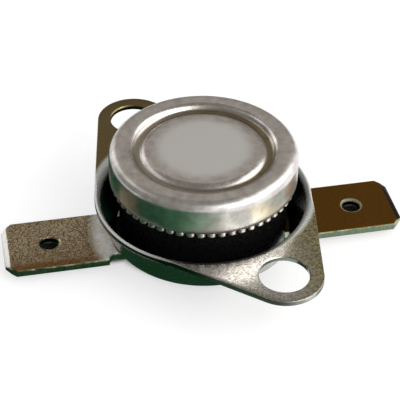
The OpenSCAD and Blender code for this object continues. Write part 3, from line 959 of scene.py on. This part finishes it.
# Painted shade: the walls of the detent holes are dark.
painted_hole_shade = near_detent(tree, *HOLE_SHADE)
feed(shader, Base_Color=mix_colours(tree, painted_hole_shade, top_highlighted, shade(20, 18, 14)),
     Metallic=remap(tree, painted_top_highlight, 1.0, 0.3))
paint_edges(left_blade, left_tin, brass_edge)
paint_edges(right_blade, right_tin, brass_edge)

# %% [markdown]
# ## Moulded and inner pieces
# The base is black phenolic, glossy where the mould polished it, with a faint flow grain. The
# inner pieces are hidden, yet each keeps the finish of its own material.

# %% Finish: mouldings and small metal parts
def moulded(name, tone, speck, rough_low, rough_high):
    """A moulding with a fine speck and a faint grain."""
    material, tree, shader = new_finish(name)
    grain = effect(tree, patches, Cells_per_metre=2600.0, Contrast=1.8)
    feed(shader, Base_Color=mix_colours(tree, grain["Mask"], tone, speck),
         Roughness=remap(tree, grain["Mask"], rough_low, rough_high))
    bumpy(tree, shader, grain["Mask"], 0.004)
    return material


def small_metal(name, dark, light):
    """A small metal part with turning lines and faint stains."""
    material, tree, shader = new_finish(name)
    shader.inputs["Metallic"].default_value = 1.0
    lines = effect(tree, spun_lines, Lines_per_metre=7000.0)
    stains = effect(tree, patches, Cells_per_metre=900.0, Contrast=2.0)
    feed(shader, Base_Color=mix_colours(tree, stains["Mask"], dark, light),
         Roughness=remap(tree, lines["Mask"], 0.18, 0.36))
    bumpy(tree, shader, lines["Mask"], 0.003)
    return material


nickel = small_metal("nickel_plate", shade(190, 182, 160), shade(214, 208, 192))
silver = small_metal("silver", shade(206, 205, 202), shade(226, 226, 224))
bronze = small_metal("spring_bronze", shade(190, 140, 78), shade(212, 168, 104))
inner_finish = {
    "base": moulded("black_phenolic", shade(9, 9, 10), shade(18, 17, 17), 0.22, 0.36),
    "disc_guide": moulded("brown_phenolic", shade(58, 40, 28), shade(84, 60, 42), 0.40, 0.55),
    "push_pin": moulded("white_ceramic", shade(232, 228, 216), shade(244, 242, 236), 0.30, 0.42),
    "bimetal_disc": small_metal("bimetal", shade(176, 164, 140), shade(200, 192, 172)),
    "contact_strip": small_metal("brass", shade(190, 156, 84), shade(214, 184, 116)),
    "moving_contact": silver,
    "fixed_contact": silver,
}
for node, finish in inner_finish.items():
    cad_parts[node].material_slots[0].material = finish
for piece, finish in ((left_rivet, nickel), (right_rivet, nickel), (spring_arm, bronze)):
    piece.data.materials.append(finish)
print("finishes:", len(bpy.data.materials))

# %% [markdown]
# ## The studio
# Metal looks like what stands round it, so the studio matters as much as the finishes. The world is
# white for the camera and for reflections, and a softer fill for everything else.

# %% White world
SOFT_FILL = 0.7
WHITE = (1, 1, 1, 1)


def seen_directly(tree):
    """1 for rays from the camera or off a gloss, 0 for the rest."""
    path = put(tree, "ShaderNodeLightPath").outputs
    return maths(tree, "MAXIMUM", path["Is Camera Ray"], path["Is Glossy Ray"])


world = bpy.data.worlds.new("white_studio")
world.use_nodes = True
bpy.context.scene.world = world
tree = world.node_tree
background = tree.nodes["Background"]
background.inputs["Color"].default_value = WHITE
feed(background, Strength=remap(tree, seen_directly(tree), SOFT_FILL, 1.0))

# %% [markdown]
# The floor is grey paper that takes the shadows, with a glow on top that makes it white for the
# camera and for reflections. The glow stops under the body and the blades, where the photograph
# shows no light, and the paper under the blades is painted nearly black. Both are painted shadow,
# and they make the holes of the blades look dark.

# %% Paper floor
FLOOR_HALF, FLOOR_GLOW = 2.0, 0.65
PAPER_GREY, PAPER_PAINTED_SHADOW = (0.4, 0.4, 0.4, 1), (0.02, 0.02, 0.02, 1)
BLADES_Y, BLADES_X = (2.4, 1.6), (17.4, 16.0)
BODY_MIDDLE, BODY_R = (-0.8 * MM, 2.5 * MM, 0), (8.6, 7.4)


def sheet_object(name, half_x, half_y):
    """A flat sheet for the studio."""
    mesh = bpy.data.meshes.new(name)
    mesh.from_pydata([(-half_x, -half_y, 0), (half_x, -half_y, 0),
                      (half_x, half_y, 0), (-half_x, half_y, 0)], [], [(0, 1, 2, 3)])
    sheet = bpy.data.objects.new(name, mesh)
    bpy.context.scene.collection.objects.link(sheet)
    return sheet


floor = sheet_object("floor", FLOOR_HALF, FLOOR_HALF)
paper, tree, shader = new_finish("white_paper")
shader.inputs["Roughness"].default_value = 0.9
spot = position(tree)
# Painted shadow under the blades and the body: dark paper and no glow.
shadow_under_blades = times(tree, band(tree, maths(tree, "ABSOLUTE", spot["Y"]), *BLADES_Y),
                     band(tree, maths(tree, "ABSOLUTE", spot["X"]), *BLADES_X))
from_body = put(tree, "ShaderNodeVectorMath", {
    0: put(tree, "ShaderNodeTexCoord").outputs["Object"], 1: BODY_MIDDLE}, operation="DISTANCE")
under = maths(tree, "MAXIMUM", shadow_under_blades, band(tree, from_body.outputs["Value"], *BODY_R))
feed(shader, Base_Color=mix_colours(tree, shadow_under_blades, PAPER_GREY, PAPER_PAINTED_SHADOW))
bright = times(tree, seen_directly(tree), remap(tree, under, FLOOR_GLOW, 0.0))
glow = put(tree, "ShaderNodeEmission", {"Color": WHITE, "Strength": bright})
both = put(tree, "ShaderNodeAddShader", {0: shader.outputs[0], 1: glow.outputs[0]})
feed(tree.nodes["Material Output"], Surface=both.outputs[0])
floor.data.materials.append(paper)

# %% [markdown]
# Three soft boxes draw the white lines on the cap's bends. Dull cards that only reflections see
# stand round the part, where a photographer would put them: without them every flat face would be
# one even white. Green ones lie on the floor at the left and in front, for the dark green in the
# cap's wall and under the flange.

# %% Soft boxes and cards
ON_FLOOR = 0.00005


def facing(azimuth, elevation, distance):
    """A place round the object, turned to face it. Azimuth 0 is behind, 90 to the right."""
    a, e = math.radians(azimuth), math.radians(elevation)
    out = Vector((math.sin(a) * math.cos(e), math.cos(a) * math.cos(e), math.sin(e)))
    return Matrix.LocRotScale(out * distance, out.to_track_quat("Z", "Y"), None)


def lying(x, y, z=ON_FLOOR):
    """A place for a card that lies flat, on the floor if no height is given."""
    return Matrix.Translation((x, y, z))


def soft_box(name, azimuth, elevation, distance, width, height, brightness):
    """A rectangular lamp, as bright to look at whatever its size."""
    lamp = bpy.data.lights.new(name, "AREA")
    lamp.shape, lamp.size, lamp.size_y = "RECTANGLE", width, height
    lamp.energy = brightness * math.pi * width * height
    box = bpy.data.objects.new(name, lamp)
    box.matrix_world = facing(azimuth, elevation, distance)
    box.visible_camera = False
    bpy.context.scene.collection.objects.link(box)


def card(name, place, width, height, start, end, axis="Y"):
    """A board that only reflections see. Its colour runs from start to end along an axis."""
    board = sheet_object(name, width / 2, height / 2)
    board.matrix_world = place
    material, tree, shader = new_finish(name)
    tree.nodes.remove(shader)
    half = (width if axis == "X" else height) / 2
    along = put(tree, "ShaderNodeMapRange", {
        "Value": position(tree)[axis], "From Min": -half, "From Max": half})
    colour = mix_colours(tree, along.outputs["Result"], start, end)
    paint = put(tree, "ShaderNodeEmission", {"Color": colour, "Strength": 1.0})
    feed(tree.nodes["Material Output"], Surface=paint.outputs[0])
    board.data.materials.append(material)
    board.visible_camera = board.visible_diffuse = board.visible_shadow = False


soft_box("front_right", 136, 38, 0.30, 0.22, 0.16, 4.0)
soft_box("right_side", 84, 38, 0.33, 0.20, 0.25, 1.4)
soft_box("left_back", -32, 22, 0.26, 0.085, 0.12, 1.1)
card("back_card", facing(11, 30, 0.33), 0.66, 0.46, shade(46, 38, 24), shade(200, 195, 187))
card("ceiling_card", lying(0, 0, 0.30), 0.42, 0.42, shade(125, 121, 116), shade(125, 121, 116))
card("left_card", facing(-74, 15, 0.30), 0.30, 0.22, shade(90, 92, 90), shade(140, 140, 138))
card("left_front_card", facing(235, 28, 0.30), 0.50, 0.36,
     shade(120, 116, 110), shade(150, 146, 140))
card("left_floor_card", lying(-0.0210, 0.0115), 0.048, 0.047,
     shade(18, 58, 34), shade(30, 66, 44), "X")
card("corner_floor_card", lying(-0.0790, -0.0660), 0.142, 0.108,
     shade(34, 80, 52), shade(48, 92, 64), "X")
card("front_floor_card", lying(0.001, -0.0660), 0.018, 0.108,
     shade(84, 132, 102), shade(232, 235, 232), "X")
card("right_floor_card", lying(0.0170, -0.0085), 0.016, 0.012,
     shade(160, 170, 160), shade(200, 204, 198), "X")
print("lamps:", len(bpy.data.lights))

# %% [markdown]
# The Standard view shows colours as they were mixed.

# %% Finish
bpy.context.scene.view_settings.view_transform = "Standard"
